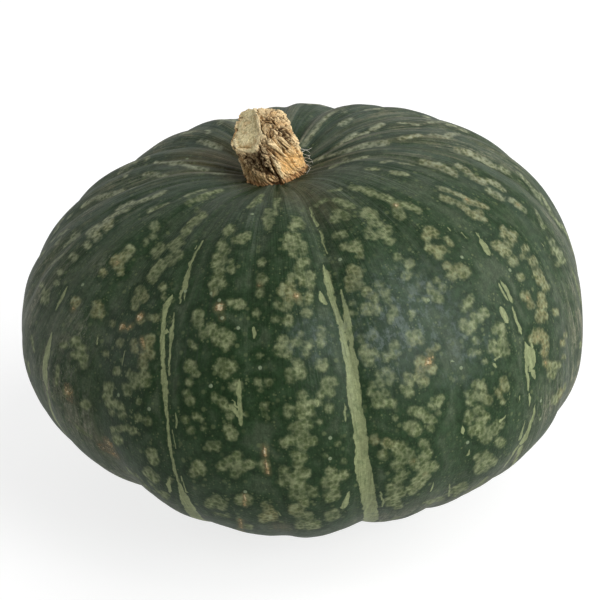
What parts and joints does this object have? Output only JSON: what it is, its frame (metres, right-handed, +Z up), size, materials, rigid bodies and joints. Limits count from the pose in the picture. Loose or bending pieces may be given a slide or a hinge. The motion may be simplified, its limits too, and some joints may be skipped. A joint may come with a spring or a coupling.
{
  "type": "kabocha squash",
  "caption": "Whole kabocha squash: a flattened round fruit with lobes parted by seams, a corky cut stem on top and a small flat spot underneath to rest on.",
  "frame": {"origin": "on the surface that the fruit rests on, under the middle of the fruit's outline", "axes": "+Z up through the stem end, -Y towards the side that the picture shows, +X to that view's right"},
  "size_m": [0.178, 0.1816, 0.122],
  "materials": {
    "skin": "waxy dark green rind, half gloss, with soft olive blotches and pale green stripes along the seams",
    "cork": "dry matt tan cork, cracked lengthwise, with a paler cut face"
  },
  "bodies": {
    "root": {"squash_body": "skin", "stem": "cork"}
  },
  "joints": []
}
